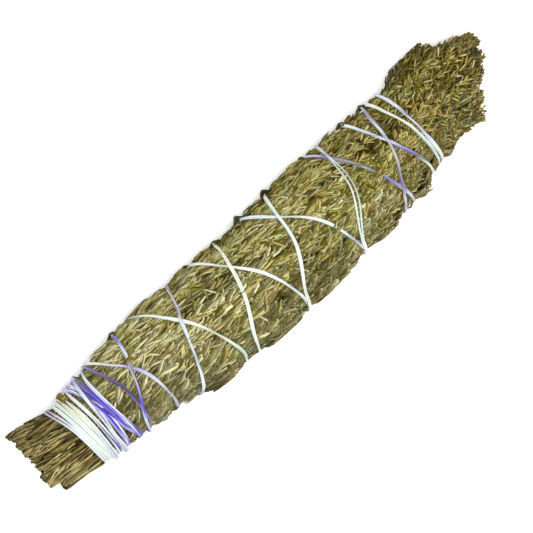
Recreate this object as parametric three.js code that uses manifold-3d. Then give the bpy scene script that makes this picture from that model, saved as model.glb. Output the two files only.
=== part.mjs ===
// A sage smudge stick lying on a table: a tight roll of leafy sage sprays, with their cut stalks at one end and
// their leaf tips at the other, bound with one long cotton thread that winds up the stick and back down.
// Millimetres. +X runs from the cut stalks to the leaf tips and +Z is up. The stick rests on Z = 0, and the
// origin is under the middle of its length.

import * as THREE from "three";
import { mergeVertices } from "three/addons/utils/BufferGeometryUtils.js";
import Module from "manifold-3d";

const wasm = await Module();
wasm.setup();

// Driving dimensions.
// The stick seen from above: x, half width, how far its middle lies towards +Y, depth of the leaves there.
const outline = [
  [-112, 14.6, 5.1, 1.5],
  [-104, 14.5, 4.7, 1.5],
  [-95, 13.7, 2.9, 1.5],
  [-86, 15.3, 2.2, 1.7],
  [-77, 16.4, 2.5, 1.9],
  [-56, 18.9, 2.8, 2.3],
  [-43, 20.6, 0.8, 2.3],
  [-8, 21.3, -0.8, 2.3],
  [37, 20.9, 0.2, 2.3],
  [57, 20.1, 0.2, 2.3],
  [67, 18.4, 1.4, 2.1],
  [76, 17.3, 2.3, 2.0],
  [84, 17.6, 4.1, 2.3],
  [93, 18.2, 4.1, 2.3],
  [98, 17.0, 4.7, 2.3],
];
const heightRatio = 0.84; // the roll is a little flatter than it is wide
const axisHeight = 17.3; // middle of the roll above the table
const gap = 0.3; // air between neighbouring pieces

const sprayReach = [97, 105, 110, 100, 94, 98, 106, 103]; // how far each outer spray's tips go, from +Y upwards
const heartReach = [114, 110, 106]; // the same for the sprays in the middle
const sprayStart = -96; // where the leafy part begins, just under the lowest thread
const sprayInside = 0.56; // share of the roll's radius where an outer spray begins
const heartOutside = 0.48; // share of the radius that the middle sprays fill
const heartChannel = 1.4; // radius left along the axis for the middle stalk
const sectionStep = 12; // distance between the cross-sections of a spray's core
const wander = 5; // degrees that the sides of a spray stray
const wanderLength = 90; // over this length

const leafLength = 18;
const leafWidth = 4.8;
const leafWidest = 0.44; // how far along it that is, as a share of its length
const leafRoot = 0.55; // width at the root, as a share of that
const leafRidge = 1.0; // thickness of a leaf along its rib
const leafSunk = 1.0; // how deep its root sits in the core
const leafTipRise = 2.3; // how far its tip stands off the core
const leafLongestDrop = 4.4; // how far a leaf under the stick can hang down to the table
const leafPressed = 0.3; // how far the table flattens it
const leafRowStep = 16;
const leafLanes = 4; // leaves side by side on one spray
const crownLength = 9; // how far the tips go on past the end of the core
const crownLeaves = 9; // leaves on the free end of each spray

const threadDiameter = 1.2;
const threadSides = 4;
const threadLift = 0.7; // air under the thread where its facets stand furthest off
const threadStray = 0.36; // how far its straight pieces stray from the curve they follow
const threadSlope = 0.55; // how steeply it climbs over thread that is already there
const knotRadius = 1.6; // of the knot that ties the thread's ends under the stick
// The thread's route: turns wound so far, x. A turn starts on the +Y side, and .25 is on top.
const threadRoute = [
  [0.75, -88.4],
  [1, -94.3], [1.25, -90.5], [1.5, -90.3],
  [2, -91.3], [2.25, -89.0], [2.5, -88.8],
  [3, -89.8], [3.25, -87.5], [3.5, -87.3],
  [4, -88.3], [4.25, -86.0], [4.5, -85.8],
  [5, -84.5], [5.25, -82.5], [5.375, -83.2], [5.5, -84.3],
  [6, -81.6], [6.125, -79.2], [6.25, -79.8], [6.375, -81.6], [6.5, -82.8],
  [7, -83.4], [7.125, -80.9], [7.25, -78.2], [7.375, -79.0], [7.5, -80.9],
  [8, -79.6], [8.125, -78.0], [8.25, -76.7], [8.375, -75.6], [8.5, -73.8],
  [9, -74.7], [9.125, -75.6], [9.25, -75.2], [9.375, -74.4], [9.5, -75.4],
  [10, -73.2], [10.125, -71.0], [10.25, -67.0], [10.375, -67.8], [10.5, -70.7],
  [11, -72.0], [11.125, -67.0], [11.25, -57.9], [11.375, -56.3], [11.5, -57.6],
  [12, -50.3], [12.125, -41.4], [12.25, -31.4], [12.375, -26.9], [12.5, -28.1],
  [13, -20.5], [13.125, -13.2], [13.25, -2.0], [13.375, 2.4], [13.5, 1.7],
  [14, 4.2], [14.125, 11.9], [14.25, 25.5], [14.375, 30.0], [14.5, 30.8],
  [15, 36.6], [15.125, 42.9], [15.25, 51.5], [15.375, 55.7], [15.5, 55.8],
  [16, 54.7], [16.125, 58.2], [16.25, 64.2], [16.375, 68.2], [16.5, 67.8],
  [17, 66.4], [17.125, 68.9], [17.25, 72.7], [17.375, 73.1], [17.5, 71.6],
  [18, 71.5], [18.125, 73.3], [18.25, 74.7], [18.375, 74.6], [18.5, 73.2],
  [19, 64.9], [19.125, 64.0], [19.25, 62.4], [19.375, 54.9], [19.5, 50.7],
  [20, 43.1], [20.125, 43.5], [20.25, 42.4], [20.375, 33.7], [20.5, 28.9],
  [21, 17.7], [21.125, 16.0], [21.25, 13.7], [21.375, 4.9], [21.5, 0.6],
  [22, -8.1], [22.125, -8.3], [22.25, -12.1], [22.375, -19.8], [22.5, -23.0],
  [22.65, -26.5], [23, -31.0], [23.125, -32.5], [23.25, -38.0], [23.375, -43.8], [23.5, -48.9],
  [24, -57.9], [24.125, -57.6], [24.25, -61.9], [24.375, -68.8], [24.5, -71.4],
  [25, -78.4], [25.25, -80.4], [25.5, -82.2],
  [26, -86.6], [26.25, -84.6], [26.5, -87.0],
  [26.75, -88.6],
];

const stalkEnd = -111.2; // where most stalks are cut
const stalkBend = -100; // where they spread, just outside the sprays
const stalkInside = -84; // how far the stalks reach into the sprays
const middleStalkInside = 96; // the one along the axis goes on nearly to the tips
const stalkSides = 5;

// A repeatable random number from 0 to 1.
let seed = 20;
function random() {
  seed = (seed * 1664525 + 1013904223) % 4294967296;
  return seed / 4294967296;
}

function spread(most) {
  return (random() * 2 - 1) * most;
}

// A smooth line through a table's rows: column 0 says where and the other column how much.
function smooth(table, at, column = 1) {
  const last = table.length - 1;
  if (at <= table[0][0]) return table[0][column];
  if (at >= table[last][0]) return table[last][column];
  let i = 0;
  while (at > table[i + 1][0]) i++;
  const slope = (row) => {
    const before = table[Math.max(row - 1, 0)];
    const after = table[Math.min(row + 1, last)];
    return (after[column] - before[column]) / (after[0] - before[0]);
  };
  const width = table[i + 1][0] - table[i][0];
  const t = (at - table[i][0]) / width;
  return (
    (2 * t ** 3 - 3 * t ** 2 + 1) * table[i][column] +
    (t ** 3 - 2 * t ** 2 + t) * width * slope(i) +
    (3 * t ** 2 - 2 * t ** 3) * table[i + 1][column] +
    (t ** 3 - t ** 2) * width * slope(i + 1)
  );
}

// Half width and half height of the roll's core, under the leaves.
function coreAt(x) {
  const width = smooth(outline, x, 1);
  const leaves = smooth(outline, x, 3);
  return { y: width - leaves, z: width * heightRatio - leaves };
}

// A place in the roll: degrees round it, from +Y upwards, share of the core's radius, mm proud of that.
// Gives the point, the way out of the roll there and the way round it.
function place(x, degrees, share = 1, proud = 0) {
  const turn = THREE.MathUtils.degToRad(degrees);
  const half = coreAt(x);
  const point = new THREE.Vector3(
    x,
    smooth(outline, x, 2) + (half.y * share + proud) * Math.cos(turn),
    axisHeight + (half.z * share + proud) * Math.sin(turn),
  );
  const out = new THREE.Vector3(0, Math.cos(turn) / half.y, Math.sin(turn) / half.z).normalize();
  const round = new THREE.Vector3(1, 0, 0).cross(out);
  return { point, out, round };
}

// The flat end of a ring of points, as triangles of its numbers.
function cap(ring) {
  const normal = new THREE.Vector3();
  ring.forEach((p, i) => normal.add(p.clone().cross(ring[(i + 1) % ring.length])));
  const across = ring[1].clone().sub(ring[0]).normalize();
  const up = normal.clone().normalize().cross(across);
  return THREE.ShapeUtils.triangulateShape(ring.map((p) => new THREE.Vector2(p.dot(across), p.dot(up))), []);
}

// A closed skin over rings with the same number of points, with a flat cap or a point at the far end.
function loft(rings, tip) {
  const count = rings[0].length;
  const points = rings.flat();
  const faces = cap(rings[0]).map(([a, b, c]) => [c, b, a]);
  for (let i = 0; i + 1 < rings.length; i++) {
    for (let j = 0; j < count; j++) {
      const a = i * count + j;
      const b = i * count + ((j + 1) % count);
      const [c, d] = [a + count, b + count];
      const shorter = points[a].distanceTo(points[d]) < points[b].distanceTo(points[c]);
      faces.push(...(shorter ? [[a, b, d], [a, d, c]] : [[a, b, c], [b, d, c]]));
    }
  }
  const last = (rings.length - 1) * count;
  if (tip) {
    points.push(tip);
    for (let j = 0; j < count; j++) faces.push([last + j, last + ((j + 1) % count), points.length - 1]);
  } else {
    faces.push(...cap(rings.at(-1)).map((face) => face.map((i) => last + i)));
  }
  const geometry = new THREE.BufferGeometry().setFromPoints(points);
  geometry.setIndex(faces.flat());
  return geometry;
}

// A closed three.js geometry as a solid that can be joined and cut.
function solid(geometry) {
  const make = (triVerts) =>
    new wasm.Manifold(
      new wasm.Mesh({ numProp: 3, vertProperties: geometry.attributes.position.array, triVerts }),
    );
  const faces = new Uint32Array(geometry.index.array);
  const made = make(faces);
  return made.volume() > 0 ? made : make(faces.reverse());
}

// The largest body of a solid, with what the joining sealed in filled up, as a mesh of the group.
function piece(name, shape, material) {
  const bodies = shape.decompose().sort((a, b) => b.volume() - a.volume());
  const made = bodies[0].getMesh();
  const geometry = new THREE.BufferGeometry();
  geometry.setAttribute("position", new THREE.BufferAttribute(new Float32Array(made.vertProperties), 3));
  geometry.setIndex(new THREE.BufferAttribute(new Uint32Array(made.triVerts), 1));
  const mesh = new THREE.Mesh(geometry, material);
  mesh.name = name;
  return mesh;
}

// How far along a straight stretch its points are looked at, from one end to the other.
const eighths = [0, 0.125, 0.25, 0.375, 0.5, 0.625, 0.75, 0.875, 1];

// The thread's route over the sprays, in short steps, and where its middle line runs.
const threadStepsPerTurn = 144;
const threadStart = threadRoute[0][0];
const threadTurns = threadRoute.at(-1)[0] - threadStart;
const threadSteps = Math.round(threadTurns * threadStepsPerTurn);
const threadLaid = Array.from({ length: threadSteps + 1 }, (_, i) => {
  const turns = threadStart + i / threadStepsPerTurn;
  return place(smooth(threadRoute, turns), turns * 360, 1, threadLift + threadDiameter / 2);
});

// Lays the thread in order, so that it climbs over the turns that are already there.
function layThread() {
  const reach = threadDiameter + gap * 1.5;
  const lifts = new Array(threadSteps + 1).fill(0);
  for (let i = 0; i <= threadSteps; i++) {
    for (let j = 0; j < i - threadStepsPerTurn / 2; j++) {
      const apart = threadLaid[i].point.distanceTo(threadLaid[j].point);
      if (apart < reach) lifts[i] = Math.max(lifts[i], lifts[j] + Math.sqrt(reach ** 2 - apart ** 2));
    }
  }
  const step = (i) => threadSlope * threadLaid[i].point.distanceTo(threadLaid[i - 1].point);
  for (let i = 1; i <= threadSteps; i++) lifts[i] = Math.max(lifts[i], lifts[i - 1] - step(i));
  for (let i = threadSteps; i > 0; i--) lifts[i - 1] = Math.max(lifts[i - 1], lifts[i] - step(i));
  threadLaid.forEach(({ point, out }, i) => point.addScaledVector(out, lifts[i]));
}

// The fewest straight pieces that keep within the allowed stray of the thread's middle line.
function straightThread() {
  const kept = [0];
  while (kept.at(-1) < threadSteps) {
    const from = kept.at(-1);
    const near = (to) => {
      const line = new THREE.Line3(threadLaid[from].point, threadLaid[to].point);
      const stray = ({ point }) => line.closestPointToPoint(point, true, new THREE.Vector3()).distanceTo(point);
      return threadLaid.slice(from + 1, to).every((laid) => stray(laid) < threadStray);
    };
    let to = from + 1;
    while (to < threadSteps && near(to + 1)) to++;
    kept.push(to);
  }
  return kept.map((i) => threadLaid[i]);
}

layThread();
const threadStops = straightThread();
const threadLine = threadStops.slice(1).flatMap(({ point }, i) =>
  eighths.map((t) => threadStops[i].point.clone().lerp(point, t)),
);

function threadRing({ point, out }, i) {
  const before = threadStops[Math.max(i - 1, 0)].point;
  const after = threadStops[Math.min(i + 1, threadStops.length - 1)].point;
  const ahead = after.clone().sub(before).normalize();
  const side = new THREE.Vector3().crossVectors(ahead, out).normalize();
  const up = new THREE.Vector3().crossVectors(side, ahead);
  return Array.from({ length: threadSides }, (_, j) => {
    const turn = ((j + 0.5) / threadSides) * 2 * Math.PI;
    return point
      .clone()
      .addScaledVector(side, (Math.sin(turn) * threadDiameter) / 2)
      .addScaledVector(up, (-Math.cos(turn) * threadDiameter) / 2);
  });
}

// The whole thread, with the knot that ties its two ends under the stick.
function thread() {
  const { point } = threadStops.at(-1);
  const ball = new THREE.IcosahedronGeometry(knotRadius, 0).translate(point.x, point.y, point.z);
  ball.deleteAttribute("normal");
  ball.deleteAttribute("uv");
  return solid(loft(threadStops.map(threadRing))).add(solid(mergeVertices(ball)));
}

function clearOfThread(point) {
  const least = threadDiameter / 2 + gap;
  return threadLine.every(
    (p) => Math.abs(p.x - point.x) > least || p.distanceToSquared(point) > least * least,
  );
}

// The sides between neighbouring sprays, which stray a little as they run along the stick.
function sideAngle(ring, side, x) {
  const stray = wander * Math.sin((x / wanderLength + (side % ring.count) * 0.37) * 2 * Math.PI);
  return ((side - 0.5) * 360) / ring.count + stray;
}

// How far out the core reaches near its two ends, as a share of its full size.
function taper(spray, x) {
  const neck = Math.min((x - sprayStart) / 5, 1);
  const crown = Math.min((spray.coreEnd - x) / 14, 1);
  return 1 - 0.05 * (1 - neck) - 0.1 * (1 - crown);
}

// Half the gap between two sprays, in degrees round the roll.
function halfGap(x, share) {
  return THREE.MathUtils.radToDeg(gap / 2 / (coreAt(x).z * share));
}

// Where the cross-sections lie, the same on every piece, so that neighbours bend together.
function sectionsTo(end) {
  const sections = [];
  for (let x = sprayStart; x < end - 2; x += sectionStep) sections.push(x);
  return [...sections, end];
}

// One cross-section of a spray's core.
function sprayRing(spray, x) {
  const { ring, index } = spray;
  const outside = ring.outside * taper(spray, x);
  const arc = (count, share, proud, inset) => {
    const from = sideAngle(ring, index, x) + inset;
    const to = sideAngle(ring, index + 1, x) - inset;
    return Array.from({ length: count }, (_, i) =>
      place(x, from + ((to - from) * i) / (count - 1), share, proud).point,
    );
  };
  const outer = arc(ring.outerPoints, outside, 0, halfGap(x, outside));
  const inner = ring.channel
    ? arc(ring.innerPoints, 0, ring.channel, THREE.MathUtils.radToDeg(gap / 2 / ring.channel))
    : arc(ring.innerPoints, ring.inside, 0, halfGap(x, ring.inside));
  return [...outer, ...inner.reverse()];
}

function sprayCore(spray) {
  return solid(loft(sectionsTo(spray.coreEnd).map((x) => sprayRing(spray, x))));
}

// A narrow leaf folded along its rib: its root is buried, its middle lies on the roll and its tip stands off.
function leaf(at, yaw, size, rootDepth, tipRise) {
  const way = THREE.MathUtils.degToRad(yaw);
  const ahead = new THREE.Vector3(Math.cos(way), 0, 0).addScaledVector(at.round, Math.sin(way));
  const side = new THREE.Vector3().crossVectors(at.out, ahead);
  const middleRise = tipRise * 0.42 - leafRidge * 0.45;
  const section = (along, rise, half, ridge) => {
    const middle = at.point.clone().addScaledVector(ahead, along).addScaledVector(at.out, rise);
    return [
      middle.clone().addScaledVector(side, -half),
      middle.clone().addScaledVector(side, half),
      middle.clone().addScaledVector(at.out, ridge),
    ];
  };
  const length = leafLength * size;
  const half = (leafWidth / 2) * Math.sqrt(size);
  const rings = [
    section(0, -rootDepth, half * leafRoot, leafRidge * 0.7),
    section(length * leafWidest, middleRise, half, leafRidge),
  ];
  const tip = at.point.clone().addScaledVector(ahead, length).addScaledVector(at.out, tipRise);
  return { rings, tip };
}

// Points all over a leaf, to see that it keeps clear of its neighbours.
function leafProbes({ rings, tip }) {
  const [root, middle] = rings.map((ring) =>
    ring.flatMap((p, i) => [p, p.clone().lerp(ring[(i + 1) % ring.length], 0.5)]),
  );
  return middle.flatMap((p, i) => [
    ...eighths.map((t) => root[i].clone().lerp(p, t)),
    ...eighths.map((t) => p.clone().lerp(tip, t)),
  ]);
}

// Whether a point is in the wedge of the roll that belongs to a spray.
function inSpray(spray, p) {
  const { ring, index } = spray;
  const half = coreAt(p.x);
  const [y, z] = [(p.y - smooth(outline, p.x, 2)) / half.y, (p.z - axisHeight) / half.z];
  const share = Math.hypot(y, z);
  const inset = THREE.MathUtils.radToDeg((gap * 0.8) / (half.z * Math.max(share, 0.1)));
  const middle = (sideAngle(ring, index, p.x) + sideAngle(ring, index + 1, p.x)) / 2;
  const angle = THREE.MathUtils.radToDeg(Math.atan2(z, y));
  const off = THREE.MathUtils.euclideanModulo(angle - middle + 180, 360) - 180;
  const room = (sideAngle(ring, index + 1, p.x) - sideAngle(ring, index, p.x)) / 2 - inset;
  return Math.abs(off) < room && share > ring.inside + 0.02 && (!ring.channel || share < heartOutside);
}

// Tries a leaf at full size and then smaller and straighter, until one is clear of thread and neighbours.
function fitLeaf(spray, at, yaw, rootDepth, tipRise) {
  for (const size of [1, 0.82, 0.66, 0.5]) {
    for (const lean of [yaw, -yaw, yaw * 0.3]) {
      const made = leaf(at, lean, size, rootDepth, tipRise * (0.6 + 0.4 * size));
      const probes = leafProbes(made);
      if (Math.max(...probes.map((p) => p.x)) > spray.reach) continue;
      if (probes.every((p) => inSpray(spray, p)) && probes.every(clearOfThread))
        return solid(loft(made.rings, made.tip));
    }
  }
  return null;
}

// Degrees round the roll, a share of the way across a spray.
function acrossSpray(spray, x, share) {
  const from = sideAngle(spray.ring, spray.index, x);
  return from + (sideAngle(spray.ring, spray.index + 1, x) - from) * share;
}

// How far a leaf's tip stands off. Under the stick it hangs down to the table where it can, and lies on it.
function riseToTable({ point, out }, rise) {
  const drop = out.z < 0 ? -point.z / out.z : Infinity;
  return drop < leafLongestDrop ? Math.max(rise, drop + leafPressed) : rise;
}

// Leaves in staggered rows over the outside of a spray. Where one finds no room, it moves along a little.
function sideLeaves(spray) {
  const leaves = [];
  for (let row = 0; row * leafRowStep < spray.reach - sprayStart; row++) {
    for (let lane = 0; lane < leafLanes; lane++) {
      const start = sprayStart + 3 + (row + (lane % 2) / 2) * leafRowStep + spread(1.2);
      const share = (lane + 0.5) / leafLanes + spread(0.03);
      const [yaw, rise] = [spread(20), leafTipRise + spread(0.35)];
      for (const x of [start, start + 3.5, start - 3.5]) {
        if (x > spray.coreEnd - 3) continue;
        const at = place(x, acrossSpray(spray, x, share), taper(spray, x));
        const made = fitLeaf(spray, at, yaw, leafSunk, riseToTable(at, rise));
        if (made) {
          leaves.push(made);
          break;
        }
      }
    }
  }
  return leaves;
}

// Leaves on the free end of a spray in two layers, pointing on along the stick and a little outwards.
function endLeaves(spray) {
  const leaves = [];
  for (let i = 0; i < crownLeaves; i++) {
    const outer = i % 2;
    const x = spray.coreEnd - 1 - 3 * random();
    const thickness = spray.ring.outside * taper(spray, x) - spray.ring.inside;
    const share = spray.ring.inside + thickness * (outer ? 0.9 : 0.45);
    const at = place(x, acrossSpray(spray, x, 0.12 + (0.76 * (i + 0.5)) / crownLeaves), share);
    leaves.push(fitLeaf(spray, at, spread(12), 0.3, outer ? 2.6 + spread(0.8) : 1.2));
  }
  return leaves.filter(Boolean);
}

// Where a stalk's middle lies at its cut end, at its bend and in the spray, as the roll's share and mm proud of
// it, and its half width and half thickness at the cut end and in the spray.
const stalkShape = {
  outer: { butt: [1, 0], bend: [1, -0.7], neck: [1, -2.35], size: [1.75, 1.4], thin: [1.0, 0.95] },
  heart: { butt: [0.53, 0], bend: [0.5, 0], neck: [0.31, 0], size: [2.5, 2.1], thin: [0.85, 0.85] },
  middle: { butt: [0, 0], bend: [0, 0], neck: [0, 0], size: [2.4, 2.4], thin: [1.1, 1.1] },
};

// One cross-section of a stalk, or of the hole that it stands in.
function stalkRing(x, degrees, [share, proud], [across, deep], extra = 0) {
  const { point, out, round } = place(x, degrees, share, proud);
  return Array.from({ length: stalkSides }, (_, i) => {
    const turn = ((i + 0.5) / stalkSides) * 2 * Math.PI;
    return point
      .clone()
      .addScaledVector(round, Math.cos(turn) * (across + extra))
      .addScaledVector(out, Math.sin(turn) * (deep + extra));
  });
}

// A stalk from its cut end into its spray. The ones on the -Y side are cut shorter.
function stalk(shape, angleAt, inside) {
  const butt = place(stalkEnd, angleAt(stalkEnd), ...shape.butt).point;
  const end = stalkEnd + spread(1.1) + 0.9 * Math.max(0, -3.5 - butt.y);
  const grow = 0.9 + 0.12 * random();
  const mix = (t) => shape.thin.map((thin, i) => thin + (shape.size[i] * grow - thin) * t);
  return [
    stalkRing(end, angleAt(end), shape.butt, mix(1)),
    stalkRing(stalkBend, angleAt(stalkBend), shape.bend, mix(0.75)),
    ...sectionsTo(inside).map((x) => stalkRing(x, angleAt(x), shape.neck, shape.thin)),
  ];
}

// The plain hole in a spray that a stalk stands in.
function stalkHole(shape, angleAt) {
  const rings = sectionsTo(stalkInside).map((x) => stalkRing(x, angleAt(x), shape.neck, shape.thin, gap));
  for (const p of rings[0]) p.x -= gap;
  for (const p of rings.at(-1)) p.x += gap;
  return solid(loft(rings));
}

// Colours.
const leafGreen = new THREE.MeshStandardMaterial({ color: 0x8a8450, roughness: 0.95, metalness: 0 });
const stalkBrown = new THREE.MeshStandardMaterial({ color: 0x8d7648, roughness: 0.9, metalness: 0 });
const threadLilac = new THREE.MeshStandardMaterial({ color: 0xc9cfe0, roughness: 0.7, metalness: 0 });

// The stick.
const outerRing = {
  name: "leafy_spray", shape: "outer", count: sprayReach.length, reach: sprayReach,
  inside: sprayInside, outside: 1, outerPoints: 4, innerPoints: 2, lanes: true,
};
const heartRing = {
  name: "heart_spray", shape: "heart", count: heartReach.length, reach: heartReach,
  inside: 0, outside: heartOutside, outerPoints: 5, innerPoints: 3, channel: heartChannel,
};

// What lies under the table's surface, to press the lowest leaves flat.
const tableSize = 400;
const table = solid(
  loft([-tableSize, tableSize].map((x) =>
    [[-tableSize, -tableSize], [tableSize, -tableSize], [tableSize, 0], [-tableSize, 0]].map(
      ([y, z]) => new THREE.Vector3(x, y, z),
    ),
  )),
);

const stick = new THREE.Group();
let stalkNumber = 0;
function addStalk(rings) {
  stalkNumber += 1;
  const name = "stalk_" + String(stalkNumber).padStart(2, "0");
  stick.add(piece(name, solid(loft(rings)), stalkBrown));
}

for (const ring of [outerRing, heartRing]) {
  for (let index = 0; index < ring.count; index++) {
    const spray = { ring, index, reach: ring.reach[index], coreEnd: ring.reach[index] - crownLength };
    const leaves = [...(ring.lanes ? sideLeaves(spray) : []), ...endLeaves(spray)];
    let shape = sprayCore(spray);
    for (const one of leaves) shape = shape.add(one);
    for (const share of [0.27, 0.73]) {
      const angleAt = (x) => acrossSpray(spray, x, share);
      shape = shape.subtract(stalkHole(stalkShape[ring.shape], angleAt));
      addStalk(stalk(stalkShape[ring.shape], angleAt, stalkInside));
    }
    stick.add(piece(`${ring.name}_${index + 1}`, shape.subtract(table), leafGreen));
  }
}
addStalk(stalk(stalkShape.middle, () => 0, middleStalkInside));
stick.add(piece("binding_thread", thread(), threadLilac));

export default stick;
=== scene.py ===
import math
import random

import bmesh
import bpy
import numpy as np
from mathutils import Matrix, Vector, kdtree


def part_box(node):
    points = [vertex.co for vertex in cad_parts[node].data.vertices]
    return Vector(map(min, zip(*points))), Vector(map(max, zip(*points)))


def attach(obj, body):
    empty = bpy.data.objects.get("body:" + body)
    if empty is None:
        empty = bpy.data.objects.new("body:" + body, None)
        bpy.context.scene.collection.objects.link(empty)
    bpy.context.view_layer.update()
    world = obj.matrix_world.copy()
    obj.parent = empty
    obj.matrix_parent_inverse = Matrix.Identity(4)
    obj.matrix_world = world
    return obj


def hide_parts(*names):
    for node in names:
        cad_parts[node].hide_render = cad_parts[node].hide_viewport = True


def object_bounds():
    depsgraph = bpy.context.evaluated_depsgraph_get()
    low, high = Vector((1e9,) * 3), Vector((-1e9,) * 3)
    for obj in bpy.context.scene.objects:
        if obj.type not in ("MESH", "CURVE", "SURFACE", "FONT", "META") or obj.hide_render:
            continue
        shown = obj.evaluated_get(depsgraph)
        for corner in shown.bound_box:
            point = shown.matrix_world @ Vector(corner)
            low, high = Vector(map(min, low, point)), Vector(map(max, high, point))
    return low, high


# A sage smudge stick on a pale table: leafy sprays rolled tight, cut stalks at one end, leaf tips at the
# other, and a long dyed cotton thread round it. Sizes are in millimetres until a mesh is made.
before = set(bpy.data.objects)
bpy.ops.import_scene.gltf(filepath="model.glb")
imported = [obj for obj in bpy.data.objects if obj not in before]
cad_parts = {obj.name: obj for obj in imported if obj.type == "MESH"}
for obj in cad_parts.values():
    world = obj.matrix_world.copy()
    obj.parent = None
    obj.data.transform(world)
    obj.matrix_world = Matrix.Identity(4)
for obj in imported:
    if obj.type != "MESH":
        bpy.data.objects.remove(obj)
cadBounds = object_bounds()
millimetre = 0.001

# the roll

roll = {
    # x, half width, how far the middle lies towards +Y, depth of the leaves there
    "outline": [
        [-112, 14.6, 5.1, 1.5], [-104, 14.5, 4.7, 1.5], [-95, 13.7, 2.9, 1.5], [-86, 15.3, 2.2, 1.7],
        [-77, 16.4, 2.5, 1.9], [-56, 18.9, 2.8, 2.3], [-43, 20.6, 0.8, 2.3], [-8, 21.3, -0.8, 2.3],
        [37, 20.9, 0.2, 2.3], [57, 20.1, 0.2, 2.3], [67, 18.4, 1.4, 2.1], [76, 17.3, 2.3, 2],
        [84, 17.6, 4.1, 2.3], [93, 18.2, 4.1, 2.3], [98, 17, 4.7, 2.3],
    ],
    "heightRatio": 0.84,
    "axisHeight": 17.3,
    "sprayReach": [97, 105, 110, 100, 94, 98, 106, 103],  # how far each outer spray goes, from +Y upwards
    "heartReach": [114, 110, 106],  # the same for the sprays in the middle
    "sprayStart": -96,
    "sprayInside": 0.56,  # share of the radius where an outer spray begins
    "heartOutside": 0.48,
    "coreProud": -0.85,  # the middles, painted dark as shade, stay this far inside the leaves
    "wander": 5,  # degrees that a spray's sides stray
    "wanderLength": 90,
    "wanderShift": 0.37,  # of a wave, from side to side
    "meanRadius": 18,
    # the free end seen from above: y, how far the tips go
    "tipReach": [
        [-15.2, 94.6], [-12, 97], [-8.5, 100], [-4.6, 101.2], [-3.4, 104], [-1.4, 106], [1.5, 109.5],
        [4, 110], [6, 109.5], [7.4, 112], [11.3, 112.6], [13, 110.6], [14.8, 108], [16, 102.6], [18.8, 98],
        [22.4, 95.5],
    ],
    # its two sides: x, lowest y, highest y
    "tipSides": [
        [70, -17, 20], [75.1, -15.4, 19.9], [78, -14.6, 20.6], [80, -14.1, 22.6], [85, -12.8, 23],
        [91.5, -14.3, 23], [94, -15.4, 23], [96, -14, 23],
    ],
    # x, how far the leaves bulge at the +Y and the -Y edge between the threads
    "edges": [
        [-112, 0, 0], [-104, 0, 0.1], [-98, -1.3, 0.3], [-94, -0.9, 0.8], [-91, 0.3, 1.8], [-86, 0.5, 1.8],
        [-76, 1.5, 1.2], [-68, 1.2, 0.9], [-60, 0.5, 0.9], [-56, 0.2, 3], [-52, 0.6, 3.2], [-46, 0.4, 2.4],
        [-42, -0.4, 2.2], [-38, -0.4, 0.8], [-34, 0.2, 1.2], [-28, 0.5, 0.8], [-22, 0.2, 1.4],
        [-16, 0, 1.4], [-12, -1.2, 2.2], [-5, -1, 2.4], [0, -1.2, 2.4], [2, -1, 2.4], [6, 1, 1],
        [10, 0.4, 0.6], [14, -1, 0.6], [18, 0, 0.4], [24, 0.2, 0.1], [30, 0.8, 0.5], [36, 0.4, 1],
        [40, 0.6, 0.9], [44, 0.3, -0.3], [48, -1.1, 0.5], [51, -1.3, 2], [56, 0.4, 2.6], [60, -1.3, 1.2],
        [64, -0.8, -0.6], [68, 0, 1.4], [73, -1, 1.8], [77, -1.4, 0.2], [82, 0, 0],
    ],
    # hollows between the leaves that get painted shade, seen from above: x, y, how long and how wide
    "hollows": [
        [92.6, 10, 4, 1.8], [98.5, 12.5, 5, 1.4], [102, 13.8, 3, 1.2], [84.9, 17.1, 3.4, 1.6],
        [83.9, 6.9, 3.4, 2.2], [88.7, 6.3, 3, 1.6], [88.6, 8.8, 2, 1.4], [91.5, 2, 5, 1.6],
        [96.9, 2.2, 7, 1.2], [101.7, 3.6, 4, 1.6], [104.5, 1, 3, 1.2], [98, 6.1, 2.2, 1.4],
        [83.8, 10.9, 3, 1.2], [90.1, -5.7, 3.6, 1.6], [86.5, -0.9, 3.6, 1.8], [97.8, -1.9, 3, 1.6],
        [94.4, -8.9, 2.6, 1.4], [80.9, -3.2, 5, 1.1], [91.7, -12.1, 2.6, 2], [94.4, 21.2, 5, 1.4],
        [56.1, 6.4, 6, 2.4], [1.7, 12.2, 6, 1.8], [29.5, 7.1, 4, 2.2], [-19.8, 10.4, 5, 2.4],
        [53.5, 13.2, 4.6, 1.6], [-48.6, 15.1, 5, 1.3], [59.4, 18.2, 3, 1.8], [-13.3, 8.4, 3, 1.8],
        [-2.2, -12.9, 2.6, 1.8], [-11.6, -14.3, 3, 1.8], [48, 13.5, 2.4, 1.8], [-16.2, -14.9, 3, 1.4],
        [-66.1, 7.6, 2.4, 1.8], [27.4, 13.9, 2.4, 1.3], [24.6, 11.4, 3, 1.5], [55.5, 9.5, 2.4, 1.6],
        [-50.8, 10.5, 2.2, 1.2], [-104.5, 13.5, 5, 1.4], [-101.5, 10.6, 6, 1.6], [-105.6, 5.4, 4.6, 1.8],
        [-104.1, -5.7, 3, 2.2], [-94.9, -5.8, 8, 0.9], [-100.3, -1.7, 3, 1.8], [-93, 4.7, 3.4, 1.6],
        [-106.7, -3.7, 2, 1.7],
    ],
}


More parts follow.
